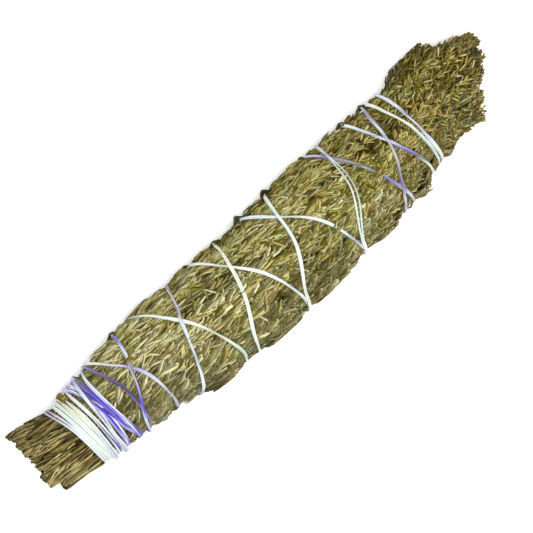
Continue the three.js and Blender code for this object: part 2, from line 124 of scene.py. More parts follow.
def smoothLine(table, at, column=1):
    rows = np.array(table, float)
    knots, values = rows[:, 0], rows[:, column]
    slopes = np.empty(len(rows))
    slopes[1:-1] = (values[2:] - values[:-2]) / (knots[2:] - knots[:-2])
    slopes[0] = (values[1] - values[0]) / (knots[1] - knots[0])
    slopes[-1] = (values[-1] - values[-2]) / (knots[-1] - knots[-2])
    at = np.clip(at, knots[0], knots[-1])
    i = np.clip(np.searchsorted(knots, at, side="right") - 1, 0, len(rows) - 2)
    width = knots[i + 1] - knots[i]
    t = (at - knots[i]) / width
    return (
        (2 * t**3 - 3 * t**2 + 1) * values[i]
        + (t**3 - 2 * t**2 + t) * width * slopes[i]
        + (3 * t**2 - 2 * t**3) * values[i + 1]
        + (t**3 - t**2) * width * slopes[i + 1]
    )


def coreHalves(x):
    width, leaves = (smoothLine(roll["outline"], x, i) for i in (1, 3))
    return width - leaves, width * roll["heightRatio"] - leaves


def unit(vectors):
    return vectors / np.linalg.norm(vectors, axis=-1, keepdims=True)


def clamped(value, low=0, high=1):
    return min(max(value, low), high)


# Places in the roll: degrees round it from +Y upwards, share of the core's radius, mm proud of that.
def rollPlace(x, degrees, share, proud):
    values = (np.array(value, float) for value in (x, degrees, share, proud))
    x, degrees, share, proud = np.broadcast_arrays(*values)
    turn = np.radians(degrees)
    halfY, halfZ = coreHalves(x)
    y = smoothLine(roll["outline"], x, 2) + (halfY * share + proud) * np.cos(turn)
    z = roll["axisHeight"] + (halfZ * share + proud) * np.sin(turn)
    point = np.stack([x, y, z], -1)
    out = unit(np.stack([np.zeros_like(turn), np.cos(turn) / halfY, np.sin(turn) / halfZ], -1))
    return point, out, np.cross([1, 0, 0], out)


def sideAngle(count, side, x):
    waves = x / roll["wanderLength"] + (side % count) * roll["wanderShift"]
    return (side - 0.5) * 360 / count + roll["wander"] * np.sin(waves * 2 * math.pi)


# The angle at a share of a spray's width.
def sprayAngle(count, index, x, share):
    side = sideAngle(count, index, x)
    return side + (sideAngle(count, index + 1, x) - side) * share


# The lowest leaves lie flattened on the table: those below the first height end up above the second.
def pressOnTable(points, pressed=0.9, lowest=0.04):
    height = points[:, 2]
    low = height < pressed
    room = pressed - lowest
    points[low, 2] = lowest + room * np.exp((height[low] - pressed) / room)
    return points


# How far the leaves bulge between the threads.
def bulge(x, degrees):
    towards = math.cos(math.radians(degrees))
    return smoothLine(roll["edges"], x, 1 if towards > 0 else 2) * max(abs(towards) * 1.6 - 0.6, 0)


# Painted shade for places in the roll: how much light they are painted with, less in the hollows.
def hollowShade(points, darkest=0.35):
    shade = np.ones(len(points))
    for x, y, length, width in roll["hollows"]:
        gap = ((points[:, 0] - x) * 2 / length) ** 2 + ((points[:, 1] - y) * 2 / width) ** 2
        shade = np.minimum(shade, np.clip(darkest + (1 - darkest) * (gap - 0.4), darkest, 1))
    return np.where(points[:, 2] > roll["axisHeight"], shade, 1)


# Values near a limit and past it are squeezed into the last stretch before it.
def squeezed(values, limit, stretch=0.8):
    past = np.maximum(values - limit + stretch, 0)
    return np.where(past > 0, limit - stretch * np.exp(-past / stretch), values)


def insideFrame(points, margin=0.02):
    low, high = (np.array(corner) / millimetre for corner in cadBounds)
    points[:, 1] = squeezed(points[:, 1], high[1] - margin)
    points[:, 1] = -squeezed(-points[:, 1], -low[1] - margin)
    return np.clip(points, low + margin, high - margin)


# colours and nodes


def linear(hexColour):
    channels = [int(hexColour[i : i + 2], 16) / 255 for i in (1, 3, 5)]
    return [c / 12.92 if c <= 0.04045 else ((c + 0.055) / 1.055) ** 2.4 for c in channels] + [1.0]


def addNode(tree, kind, settings=None, values=None, links=None):
    node = tree.nodes.new("ShaderNode" + kind)
    for name, value in (settings or {}).items():
        setattr(node, name, value)
    for socket, value in (values or {}).items():
        node.inputs[socket].default_value = value
    for socket, source in (links or {}).items():
        tree.links.new(source, node.inputs[socket])
    return node


def rampColours(ramp, stops):
    elements = ramp.color_ramp.elements
    while len(elements) > len(stops):
        elements.remove(elements[-1])
    while len(elements) < len(stops):
        elements.new(1.0)
    for element, (position, hexColour) in zip(elements, stops):
        element.position = position
        element.color = linear(hexColour)


def newMaterial(name):
    material = bpy.data.materials.new(name)
    material.use_nodes = True
    tree = material.node_tree
    shader = tree.nodes["Principled BSDF"]
    return material, tree, shader


sageLook = {
    "leaf": {
        "colours": [
            (0, "#5c5218"), (0.18, "#847a38"), (0.36, "#a0975a"), (0.52, "#b6af7e"), (0.66, "#c5be96"),
            (0.78, "#ccc0a0"), (0.88, "#dad2b4"), (1, "#e8e4ce"),
        ],
        # green-grey, plain, pinkish, and golden for the tips
        "casts": [
            (0, "#effff0"), (0.3, "#f8fff4"), (0.6, "#fffcf6"), (0.77, "#fff5ec"), (0.85, "#fcebe0"),
            (1, "#fff0b8"),
        ],
        "shade": "#1e1700",
        "blotches": (1.1, 0.6),  # size in mm, strength
        "fibres": (0.28, 0.6),
        "middle": 0.6,
        "bump": (0.6, 0.15),  # strength, height in mm
        "surface": {"Roughness": 0.82, "Specular IOR Level": 0.04},
    },
    "stalk": {
        "colours": [
            (0, "#44391a"), (0.25, "#7c6e42"), (0.5, "#a69862"), (0.7, "#c4b482"), (0.88, "#d4c494"),
            (1, "#cbb27c"),
        ],
        "casts": [(0, "#ecfce8"), (0.3, "#fafff0"), (0.6, "#fffcf2"), (0.85, "#fff0e4"), (1, "#fff4d8")],
        "shade": "#1c1406",
        "blotches": (1.6, 0.5),
        "fibres": (0.45, 0.9),
        "middle": 0.7,
        "bump": (0.7, 0.3),
        "surface": {"Roughness": 0.85, "Specular IOR Level": 0.05},
    },
    "shadedBorder": (0.62, 0.3),  # share of the half width where the painted shade along the border begins, how dark it gets
}


def dressShader(tree, shader, colour, height, bump, surface):
    bumps = addNode(
        tree, "Bump", None, {"Strength": bump[0], "Distance": bump[1] * millimetre},
        {"Height": height.outputs["Fac"]},
    )
    tree.links.new(colour.outputs[2], shader.inputs["Base Color"])
    tree.links.new(bumps.outputs["Normal"], shader.inputs["Normal"])
    for socket, value in surface.items():
        shader.inputs[socket].default_value = value


# Dried sage, downy leaf or woody bark: fibres and blotches over each part's own tint and cast, with painted
# shade along its borders and deepest in the roll, where the depth attribute is low. The grain attribute is
# a place on the part, in mm.
def driedSage(name, look):
    material, tree, shader = newMaterial(name)
    own = {
        field: addNode(tree, "Attribute", {"attribute_name": field}).outputs
        for field in ("tint", "depth", "hue", "across", "grain")
    }
    place = addNode(tree, "TexCoord")
    (blotchSize, blotched), (fibreSize, streaked) = look["blotches"], look["fibres"]
    blotches = addNode(
        tree, "TexNoise", None, {"Scale": 1 / (blotchSize * millimetre), "Detail": 3},
        {"Vector": place.outputs["Object"]},
    )
    fibres = addNode(
        tree, "TexNoise", None, {"Scale": 1 / fibreSize, "Detail": 2}, {"Vector": own["grain"]["Vector"]}
    )
    level = own["tint"]["Fac"]
    for noise, amount in ((blotches, blotched), (fibres, streaked)):
        mixed = addNode(
            tree, "Math", {"operation": "MULTIPLY_ADD"}, {1: amount}, {0: noise.outputs["Fac"], 2: level}
        )
        level = mixed.outputs[0]
    centred = addNode(tree, "Math", {"operation": "SUBTRACT"}, {1: look["middle"]}, {0: level})
    ramps = []
    for source, stops in ((centred.outputs[0], look["colours"]), (own["hue"]["Fac"], look["casts"])):
        ramp = addNode(tree, "ValToRGB", None, None, {"Fac": source})
        rampColours(ramp, stops)
        ramps.append(ramp.outputs["Color"])
    tinged = addNode(
        tree, "Mix", {"data_type": "RGBA", "blend_type": "MULTIPLY"}, {0: 1}, {6: ramps[0], 7: ramps[1]}
    )
    # painted shade along each part's side edges, for the dark gaps between leaves
    away = addNode(tree, "Math", {"operation": "ABSOLUTE"}, None, {0: own["across"]["Fac"]})
    start, shade = sageLook["shadedBorder"]
    shadedBorder = addNode(
        tree, "MapRange", None, {"From Min": start, "From Max": 1, "To Min": 1, "To Max": shade},
        {"Value": away.outputs[0]},
    )
    lit = addNode(
        tree, "Math", {"operation": "MULTIPLY"}, None, {0: own["depth"]["Fac"], 1: shadedBorder.outputs["Result"]}
    )
    shaded = addNode(
        tree, "Mix", {"data_type": "RGBA"}, {6: linear(look["shade"])},
        {0: lit.outputs[0], 7: tinged.outputs[2]},
    )
    dressShader(tree, shader, shaded, fibres, look["bump"], look["surface"])
    return material


# Space-dyed cotton thread: three soft plies, matt with a slight sheen, white and mint running into violet;
# its colours along the thread are partly painted shade.
def dyedCottonThread(fuzz=0.5):
    material, tree, shader = newMaterial("dyedCottonThread")
    place = addNode(tree, "TexCoord")
    dyeAndShade = addNode(tree, "Attribute", {"attribute_name": "dyeAndShade"})
    fibres = addNode(
        tree, "TexNoise", None, {"Scale": 1 / (fuzz * millimetre), "Detail": 3},
        {"Vector": place.outputs["Object"]},
    )
    grey = addNode(
        tree, "MapRange", None, {"From Min": 0.3, "From Max": 0.7, "To Min": 0.64, "To Max": 0.83},
        {"Value": fibres.outputs["Fac"]},
    )
    faded = addNode(
        tree, "Mix", {"data_type": "RGBA", "blend_type": "MULTIPLY"}, {0: 1},
        {6: dyeAndShade.outputs["Color"], 7: grey.outputs["Result"]},
    )
    surface = {"Roughness": 0.7, "Sheen Weight": 0.3, "Specular IOR Level": 0.3}
    dressShader(tree, shader, faded, fibres, (0.4, 0.1), surface)
    return material


# Dried sage leaf, matt and downy; cut sage stalk, woody, golden where it is cut across.
leafMaterial = driedSage("driedSageLeaf", sageLook["leaf"])
stalkMaterial = driedSage("driedSageStalk", sageLook["stalk"])
threadMaterial = dyedCottonThread()

# the thread's way

threadShape = {
    # x at steps of a quarter or an eighth of a turn, after the turns wound so far; .25 of a turn is on top
    "route": {
        0.25: [
            [0.75, -88.4], [1, -94.3, -90.5, -90.3], [2, -91.3, -89, -88.8], [3, -89.8, -87.5, -87.3],
            [4, -88.3, -86, -85.8], [5, -84.5, -82.5], [22.65, -26.5], [25, -78.4, -80.4, -82.2],
            [26, -86.6, -84.6, -87, -88.6],
        ],
        0.125: [
            [5.375, -83.2, -84.3], [6, -81.6, -79.2, -79.8, -81.6, -82.8],
            [7, -83.4, -80.9, -78.2, -79, -80.9], [8, -79.6, -78, -76.7, -75.6, -73.8],
            [9, -74.7, -75.6, -75.2, -74.4, -75.4], [10, -73.2, -71, -67, -67.8, -70.7],
            [11, -72, -67, -57.9, -56.3, -57.6], [12, -50.3, -41.4, -31.4, -26.9, -28.1],
            [13, -20.5, -13.2, -2, 2.4, 1.7], [14, 4.2, 11.9, 25.5, 30, 30.8],
            [15, 36.6, 42.9, 51.5, 55.7, 55.8], [16, 54.7, 58.2, 64.2, 68.2, 67.8],
            [17, 66.4, 68.9, 72.7, 73.1, 71.6], [18, 71.5, 73.3, 74.7, 74.6, 73.2],
            [19, 64.9, 64, 62.4, 54.9, 50.7], [20, 43.1, 43.5, 42.4, 33.7, 28.9],
            [21, 17.7, 16, 13.7, 4.9, 0.6], [22, -8.1, -8.3, -12.1, -19.8, -23],
            [23, -31, -32.5, -38, -43.8, -48.9], [24, -57.9, -57.6, -61.9, -68.8, -71.4],
        ],
    },
    "diameter": 1.2,
    "lift": 0.7,
    "room": 0.15,  # air between turns that cross
    "slope": 0.55,  # how steeply it climbs over thread that is already there
    "stepsPerTurn": 144,
    "plies": 3,
    "plyRadius": 0.35,
    "plyStep": 0.9,
    "twistRadius": 0.33,
    "twistLength": 26,
    "knotColour": "#cfe4d6",
    "knotRadius": 1.2,
    "knotWound": 44,  # radians
    "knotThread": 0.32,
    # turns, mm between the outer plies, and how far the middle one goes over to the last, unless it doesn't
    "spread": [
        [0.75, 0], [1, 1.1, 1], [1.12, 1.3, 1], [1.25, 0.9], [1.5, 1.1], [1.75, 0.8], [2, 0.4], [2.25, 0.9],
        [2.5, 1], [3, 0.3], [3.25, 0.9], [3.5, 1], [4, 0.2], [4.2, 0.9, 0.3], [4.5, 1.5, 0.4], [4.75, 0.8],
        [5, 0.2], [5.2, 0.5], [5.35, 1.1, 0.7], [5.5, 1.6, 0.3], [5.8, 0.8], [5.97, 1.2, 0.6],
        [6.1, 1.7, 0.5], [6.22, 1], [6.35, 0.9], [6.5, 1.2, 0.3], [6.9, 1.2], [7.02, 1.7, 0.2],
        [7.15, 1.3, 0.4], [7.3, 1.5, 0.2], [7.45, 1.3], [7.8, 1], [8, 1.3, 0.2], [8.13, 1.6], [8.28, 1.7],
        [8.4, 1.4, 0.3], [8.5, 1.5, 0.5], [8.8, 0.6], [9, 0.3], [9.2, 0.5], [9.35, 0.9, 0.5],
        [9.5, 1.3, 0.3], [9.8, 0.4], [10, 0], [10.9, 0], [11.15, 0.5], [11.35, 0.4], [11.5, 0.2],
        [12.1, 0.5], [12.3, 0.4], [12.5, 0.2], [13.1, 0.3], [13.35, 0.5], [13.5, 0.2], [14.1, 0.4],
        [14.5, 0.2], [15.1, 0.5], [15.5, 0.2], [16.1, 0.1], [17.1, 0.2], [18.2, 0.2], [18.35, 0.7, 0.3],
        [18.5, 0.4], [19.1, 0.2], [20, 0.1], [20.12, 0.3, 0.5], [20.2, 1.3, 1], [20.3, 1.6, 1],
        [20.38, 0.9, 1], [20.44, 0.2, 0.5], [20.9, 0.1], [21.1, 0.7], [21.4, 0.6], [21.5, 0.2], [22, 0],
        [22.12, 0.2], [22.2, 0.8], [22.35, 0.7], [22.5, 0.3], [24, 0.1], [25, 0.4], [25.3, 0.4, 0.5],
        [25.5, 1], [26, 0.2], [26.25, 0.8, 0.4], [26.5, 1.3, 0.5], [26.75, 0],
    ],
    # each dye's colours on the three plies, and the turns at which the thread has it; the darker ply
    # colours are partly the thread's own colours and partly painted shade, and the grey and dusk dyes, set
    # mostly at the roll's sides, and the deep dye are partly dark dye and partly painted shade
    "dyesAndShades": {
        "mint": [("#cfe4d6", "#eaf6ec", "#adc6b8"), 0.75, 2, 2.5, 3.25, 4.5, 5.48, 5.6, 6.5, 12.08, 12.4,
            12.48, 13.5, 16.42, 17.3, 18.5, 20.3, 21.15, 22.5, 26.75],
        "cream": [("#e6e8d2", "#cdd2b6", "#f2f2e6"), 3, 4, 4.2, 11.04, 12.3, 13.05, 17.1, 21, 21.45, 22.1,
            22.2, 26.16],
        "white": [("#f2f2ec", "#ccd6d0", "#e6eeee"), 1.3, 2.25, 3.5, 4.35, 5.2, 11.12, 12.2, 13.2, 13.35,
            14.2, 16.05, 18.37, 20.45, 21.3, 22.36, 23.37, 25.3, 26.25],
        "ice": [("#e0e6f0", "#a9b2cc", "#d2dbe6"), 1.12, 1.5, 5.08, 6.1, 6.2, 7.06, 9.08, 9.2, 11.3, 14.06,
            14.4, 15.42, 16.18, 16.5, 17, 17.5, 18.02, 18.18, 18.32, 19.2, 19.42, 20.1, 23.2, 23.28, 23.44,
            24.15, 24.4, 25.14, 25.4, 26.5],
        "lavender": [("#9a92d6", "#dcdcf6", "#6e68ae"), 4.98, 6.05, 11.2, 15.05, 15.33, 16.27, 18.23, 24.5,
            25.06, 25.5],
        "lilac": [("#8a7ca8", "#c4bcd0", "#645682"), 0.97, 1.05, 6, 7, 9, 11.5, 15.12, 15.5, 16.34, 18.28,
            19.08, 19.36, 23.15, 24.25],
        "grey": [("#a4a49c", "#c6c8bc", "#7e7c80"), 10.9, 11.98, 12.97, 13.98, 14.5, 15.2, 15.98, 19.27,
            20, 20.2, 21.98, 23.08, 25.95, 26.08],
        "dusk": [("#564e72", "#86829c", "#3e3454"), 8, 9.55, 10.5, 14.98, 15.26, 18.98, 19.5, 22.98, 23.5,
            24, 25],
        "violet": [("#4c3cd2", "#6c62e0", "#3a2cb0"), 6.8, 7.5, 7.8, 8.18, 8.29, 24.08, 24.33],
        "deep": [("#5e4e8a", "#74669c", "#44386a"), 5.95, 7.18, 8.12, 8.8, 10, 10.3],
        "indigo": [("#3c2f9a", "#5448b4", "#2c2270"), 8.5, 9.44],
        "streak": [("#eef0f8", "#5040cc", "#b0a6ea"), 7.24, 7.34, 8.35, 9.28],
        "frost": [("#5a52b8", "#f0f2fa", "#8c86cc"), 5.4, 6.4, 7.12, 7.42, 8.42, 9.36],
        "dawn": [("#e4f2ea", "#7068b8", "#cfe0da"), 5.3, 6.27, 6.33],
    },
}


# The thread's middle line, laid in order, so that it climbs over the turns that are already there.
def layThread():
    shape = threadShape
    runs = [(step, *run) for step, members in shape["route"].items() for run in members]
    route = sorted([first + step * i, x] for step, first, *places in runs for i, x in enumerate(places))
    start, end = route[0][0], route[-1][0]
    steps = round((end - start) * shape["stepsPerTurn"])
    turns = np.linspace(start, end, steps + 1)
    xs = smoothLine(route, turns)
    point, out, _ = rollPlace(xs, turns * 360, 1, shape["lift"] + shape["diameter"] / 2)
    reach = shape["diameter"] + shape["room"]
    lifts = np.zeros(steps + 1)
    halfTurn = shape["stepsPerTurn"] // 2
    for i in range(halfTurn + 1, steps + 1):
        earlier = slice(0, i - halfTurn)
        apart = np.linalg.norm(point[earlier] - point[i], axis=1)
        close = apart < reach
        if close.any():
            lifts[i] = max(0, (lifts[earlier][close] + np.sqrt(reach**2 - apart[close] ** 2)).max())
    climb = shape["slope"] * np.linalg.norm(np.diff(point, axis=0), axis=1)
    for i in range(1, steps + 1):
        lifts[i] = max(lifts[i], lifts[i - 1] - climb[i - 1])
    for i in range(steps, 0, -1):
        lifts[i - 1] = max(lifts[i - 1], lifts[i] - climb[i - 1])
    return turns, xs, point + out * lifts[:, None], out


threadTurns, threadXs, threadPoints, threadOuts = layThread()
threadLength = np.linalg.norm(np.diff(threadPoints, axis=0), axis=1).sum()
print(f"thread laid: {threadLength:.0f} mm")

# The thread on the unrolled skin of the roll, to find how near it passes.
roundRoll = 2 * math.pi * roll["meanRadius"]
threadMap = kdtree.KDTree(len(threadTurns) * 3)
for copy in (-1, 0, 1):
    for i, (turn, x) in enumerate(zip(threadTurns, threadXs)):
        threadMap.insert((x, (turn % 1 + copy) * roundRoll, 0), i)
threadMap.balance()


def nearThread(x, degrees):
    return threadMap.find((x, (degrees / 360 % 1) * roundRoll, 0))[2]


# leaves and twigs


# A closed form grown ring by ring: its end face is extruded and the new corners are put in place.
def grownForm(rings):
    form = bmesh.new()
    root = [form.verts.new(place) for place in rings[0]]
    front = form.faces.new(root)
    for ring in rings[1:]:
        front = bmesh.ops.extrude_discrete_faces(form, faces=[front])["faces"][0]
        for corner, place in zip(front.verts, ring):
            corner.co = place
    cut = form.faces.new(root[::-1])
    return form, cut, front


def finishedMesh(form, name):
    bmesh.ops.recalc_face_normals(form, faces=form.faces)
    for face in form.faces:
        face.smooth = True
    mesh = bpy.data.meshes.new(name)
    form.to_mesh(mesh)
    form.free()
    return mesh


# A straight form along X from 0 to 1 with that section, grown through its stations: x, size.
def straightForm(name, section, stations, pointed, folded=False):
    rings = [[(at, y * size, z * size) for y, z in section] for at, size in stations]
    form, _, front = grownForm(rings)
    if pointed:
        bmesh.ops.pointmerge(form, verts=front.verts[:], merge_co=(stations[-1][0], 0, 0))
    for edge in form.edges:
        lengthwise = abs(edge.verts[0].co.x - edge.verts[1].co.x) > 0.01
        edge.smooth = not (folded and lengthwise)
    return finishedMesh(form, name)


leafForm = straightForm(
    "leafForm", [(1, 0), (0.1, 1), (-1, 0)],
    [(0, 0.45), (0.18, 0.88), (0.5, 1), (0.87, 0.86), (1, 0.3)], True, True,
)
stripForm = straightForm(
    "stripForm", [(1, 0), (0.45, 1), (-0.5, 0.9), (-1, 0)],
    [(0, 0.8), (0.06, 0.9), (0.25, 0.8), (0.45, 1), (0.65, 0.85), (0.85, 1), (1, 0.5)], False,
)
twigForm = straightForm(
    "twigForm", [(1, 0), (0, 1), (-1, 0), (0, -1)], [(i / 6, 1 - 0.08 * i) for i in range(7)], False
)


def formCorners(mesh):
    corners = np.empty(len(mesh.vertices) * 3)
    mesh.vertices.foreach_get("co", corners)
    return corners.reshape(-1, 3)


random.seed(7)
degreesPerMillimetre = 57.3 / roll["meanRadius"]


def between(low, high):
    return low + (high - low) * random.random()


# A leaf, strip or twig is one row: its root, the ways ahead and up, then these.
growthColumns = [
    "length", "half", "thick", "rise", "middleRise", "sway", "wave", "cup", "twist", "hue", "tint", "depth",
]


def growthRow(root, ahead, up, **sizes):
    usual = {"hue": foliage["plainHues"] * random.random(), "tint": 0.5, "depth": 1}
    row = dict.fromkeys(growthColumns, 0) | usual | sizes
    return [*root, *ahead, *up, *row.values()]


# Bends copies of a straight form into place: risen at the middle and tip, swayed, cupped and twisted.
def bendGrowth(corners, rows):
    rows = np.array(rows, float)
    root, ahead, up = rows[:, 0:3], unit(rows[:, 3:6]), rows[:, 6:9]
    column = dict(zip(growthColumns, rows.T[9:, :, None]))
    side = unit(np.cross(up, ahead))
    up = np.cross(ahead, side)
    t, across, lift = corners.T[:, None]
    rise = column["middleRise"] * 4 * t * (1 - t) + column["rise"] * t * (2 * t - 1)
    angle = column["twist"] * t
    wide = across * column["half"]
    deep = lift * column["thick"] + column["cup"] * across**2
    way = column["sway"] * t**2 + column["wave"] * np.sin(2 * math.pi * t)
    sideways = wide * np.cos(angle) - deep * np.sin(angle) + way
    upwards = wide * np.sin(angle) + deep * np.cos(angle) + rise
    moves = (ahead, column["length"] * t), (side, sideways), (up, upwards)
    return sum((way[:, None] * far[:, :, None] for way, far in moves), root[:, None]).reshape(-1, 3)


foliage = {
    "twigsPerSpray": 46,
    "matLeaves": 950,  # a layer of single leaves under the twigs
    "strayLeaves": 170,
    # x, degrees that the leaves on a twig stray, that wild ones stray more; the share that loose ones stray
    "stray": [(-90, 3), (-40, 5), (60, 6), (80, 10)],
    "wild": [(-80, 7), (-30, 18)],
    "wildShare": 0.11,
    "looseStray": [(-80, 0.35), (-30, 1)],
    "bareTwigs": 12,
    "tipSprigs": 22,
    "heartSprigs": 26,
    "tuftLeaves": 44,
    "twigLength": (24, 50),
    "leafStep": 0.95,
    # x, shortest and longest leaf, least and most half width, least and most lean off the twig, mean tint
    "leafStyle": [
        [-96, 4.8, 10.5, 0.38, 0.68, 1, 8, 0.4], [-74, 4.7, 10.1, 0.39, 0.7, 1, 10, 0.57],
        [-52, 4.6, 9.7, 0.39, 0.72, 2, 12, 0.52], [-30, 4.5, 9.3, 0.4, 0.74, 2, 13, 0.42],
        [-10, 4.4, 9, 0.4, 0.76, 2, 14, 0.41], [35, 3.4, 7, 0.38, 0.7, 6, 25, 0.4],
        [72, 2.6, 4.4, 0.36, 0.54, 16, 42, 0.37], [110, 2.3, 3.8, 0.35, 0.52, 20, 48, 0.38],
    ],
    # x, how much the tints differ, share of broad leaves, share of golden leaves
    "leafMix": [
        [-96, 0.19, 0.08, 0], [-50, 0.17, 0.14, 0], [-10, 0.16, 0.2, 0], [35, 0.16, 0.14, 0.05],
        [72, 0.16, 0, 0.4], [110, 0.14, 0, 0.6],
    ],
    "palest": 0.8,
    "plainHues": 0.85,  # the hues below this aren't golden
    "goldenHues": (0.88, 1),
    "waves": [(8, 19, 57), (5.5, 7.3, -31)],  # in the twigs' heading: degrees, mm along, degrees round
    "fan": (7, -9, 3),  # degrees that they fan out on the body and at the tip, and that all turn at the tip
    "tipFrom": 70,
    "leafThick": 0.32,
    "sprigLean": (14, 54),
    "sprigSize": (2.3, 4),
    "sprigStep": 0.55,
    "sprigTurn": 2.4,  # radians from leaf to leaf
    "sprigLeaf": {
        "half": (0.34, 0.54), "thick": (0.25, 0.6), "middleRise": (-0.15, 0.25), "rise": (-0.4, 0.5),
        "sway": (-0.5, 0.5), "wave": (-0.12, 0.12), "cup": (0, 0.15), "twist": (-0.6, 0.6),
    },
    "lighter": -0.012,  # painted light gained per mm towards +Y, so the +Y side gets painted shade
    "paler": (-0.004, 0.006),  # tint gained per mm towards +Y, and per mm along the free end
    "palerBeyond": 95,  # where that begins
    "grainStretch": (0.12, 1, 1),
    "topLevel": 1.4,
    "pressedLevel": 0.25,  # under the thread
    "freeLevel": 2.4,  # above that away from it
    "pressedFrom": 0.9,
    "pressedReach": 3,
    "overLevels": (1, 2.12, 1.9),  # root, middle and tip of a leaf that lies over the thread
    "firstLeaf": -92,
    # sprigs that stand out of the free end: spray, tip, root, depth, which sets their painted shade
    "outSprigs": [
        [4, (94.2, -14.6, 15), (82, -10.6, 15), 0.6], [4, (91, -13.4, 13), (78, -11.2, 13), 0.5],
        [4, (93.6, -13.6, 17), (80, -9.8, 17), 0.6], [4, (97.6, -11.4, 18), (84, -8, 18), 0.9],
        [5, (95, -13.2, 20), (83, -9.5, 21), 0.8], [0, (107, 15.6, 18), (92, 13.8, 18), 0.9],
        [7, (109.4, 12.8, 15), (94, 11.4, 15), 0.8], [0, (95.4, 21.4, 16), (82, 18.6, 17), 0.5],
        [0, (90.5, 22.3, 14), (79, 18.8, 15), 0.4], [7, (86, 22.1, 15), (77, 18, 15), 0.35],
        [0, (96.6, 19.6, 19), (84, 17.6, 20), 0.7], [7, (93.6, 22.4, 12), (82, 19.2, 12), 0.35],
        [0, (83, 22, 17), (76, 18, 17), 0.4], [0, (88, 20.6, 19), (76, 17.6, 19), 0.6],
        [7, (82, 21, 13), (74, 17.6, 13), 0.35], [0, (92, 20.8, 18), (81, 17.8, 19), 0.6],
        [7, (90, 20.4, 15), (78, 17, 15), 0.4], [1, (112.4, 10.6, 17), (99, 9.4, 18), 0.9],
        [2, (112.2, 7.6, 19), (99, 6.9, 20), 1], [3, (109.9, 2.4, 19), (97, 2.6, 20), 1],
        [3, (106, -1.5, 17), (93, -1.6, 18), 0.9],
    ],
    # x, degrees, tallest: tufts pushed up beside the thread
    "tufts": [
        (-22, 4, 2), (-8.2, 6, 1.4), (4, 3, 2.7), (17.6, 5, 3), (35.8, 4, 1.6), (54.6, 6, 1.9),
        (64.2, 6, 1.8), (-58, 6, 1.4), (-44.5, 4, 1.5), (-37, 172, 1), (0.5, 176, 1.2), (-59, 186, 1),
        (37.8, 178, 1.2),
    ],
    # x, degrees, shortest and longest: leaves lie over the thread there
    "overThread": [
        (28.6, 109, 4, 6), (52.8, 98, 4, 6), (-59.4, 68, 4, 6), (-87.2, 4, 3, 4), (-87, 11, 3, 4),
        (-86.8, 18, 3, 4), (-86.5, 26, 3, 3.8), (-86.3, 34, 2.6, 3.4),
    ],
}


def foliageAt(name, x, column=1):
    rows = foliage[name]
    return float(np.interp(x, [r[0] for r in rows], [r[column] for r in rows]))


def drawn(ranges):
    return {name: between(*ends) for name, ends in ranges.items()}


# What the leaves are like there: length, half width, lean and tint.
def leafStyle(x):
    row = [foliageAt("leafStyle", x, i) for i in range(1, 8)]
    tint = clamped(random.gauss(row[6], foliageAt("leafMix", x, 1)), 0, foliage["palest"])
    return between(row[0], row[1]), between(row[2], row[3]), between(row[4], row[5]), tint


def leafHue(x):
    golden = random.random() < foliageAt("leafMix", x, 3)
    return between(*foliage["goldenHues"]) if golden else foliage["plainHues"] * random.random()


# How many degrees the twigs there lie off the stick's length: in waves, fanned out towards both edges.
def heading(x, degrees):
    waves = sum(high * math.sin(x / along + degrees / around) for high, along, around in foliage["waves"])
    sideways = math.cos(math.radians(degrees))
    bodyFan, tipFan, tipTurn = foliage["fan"]
    if x < foliage["tipFrom"]:
        return waves + bodyFan * sideways
    return waves + (tipFan * sideways * min((x - foliage["tipFrom"]) / 15, 1) + tipTurn)


# How high the leaves may lie there, which is lower beside the thread.
def heightLimit(x, degrees):
    t = clamped((nearThread(x, degrees) - foliage["pressedFrom"]) / foliage["pressedReach"])
    return foliage["pressedLevel"] + foliage["freeLevel"] * t * t * (3 - 2 * t)


# Whether a place lies outside the free end as seen from above.
def pastTip(place, room):
    low, high = (smoothLine(roll["tipSides"], place[0], i) for i in (1, 2))
    return place[0] > smoothLine(roll["tipReach"], place[1]) + room or not low - 0.5 < place[1] < high


def endsPastTip(x, degrees, size):
    return x > 85 and pastTip(rollPlace(x + size, degrees, 1, 1)[0], -1)


# Where the root, the middle and the tip of a leaf or twig lie.
def placesAlong(x, degrees, angle, length):
    ahead, turned = length * math.cos(angle), length * math.sin(angle) * degreesPerMillimetre
    return [(x + t * ahead, degrees + t * turned) for t in (0, 0.5, 1)]


# A row that follows the roll, with its root, middle and tip at those levels.
def lyingRow(x, degrees, angle, levels, swell, **sizes):
    point, out, around = rollPlace(x, degrees, 1, levels[0] + swell)
    ahead = np.array([math.cos(angle), 0, 0]) + around * math.sin(angle)
    drop = (sizes["length"] * math.sin(angle)) ** 2 / (2 * roll["meanRadius"])
    rises = {"middleRise": levels[1] - levels[0] - drop / 4, "rise": levels[2] - levels[0] - drop}
    return growthRow(point, ahead, out, **rises, **sizes)


# A leaf lying on the roll, or over the thread there.
def lyingLeaf(x, degrees, level, yaw, length, half, tint, over=False):
    angle = math.radians(yaw)
    places = placesAlong(x, degrees, angle, length)
    levels = [level, min(level + between(0.15, 0.55), 1.95), min(level + between(0.1, 1), 2.1)]
    pressed = [min(high, heightLimit(*place)) for high, place in zip(levels, places)]
    levels = foliage["overLevels"] if over else pressed
    swell = bulge(x, degrees)
    if swell > 0:
        swell *= clamped((min(nearThread(*place) for place in places) - 1) / 3)
    # the lower a leaf lies, the smaller its depth: painted shade deep in the roll
    return lyingRow(
        x, degrees, angle, levels, swell, length=length, half=half,
        thick=foliage["leafThick"] * between(0.6, 2.2), sway=between(-0.16, 0.16) * length,
        wave=between(-0.07, 0.07) * length, cup=between(-0.12, 0.2), twist=between(-0.7, 0.7),
        hue=leafHue(x), tint=tint, depth=clamped((level + 0.95) / 1.95, 0.1),
    )


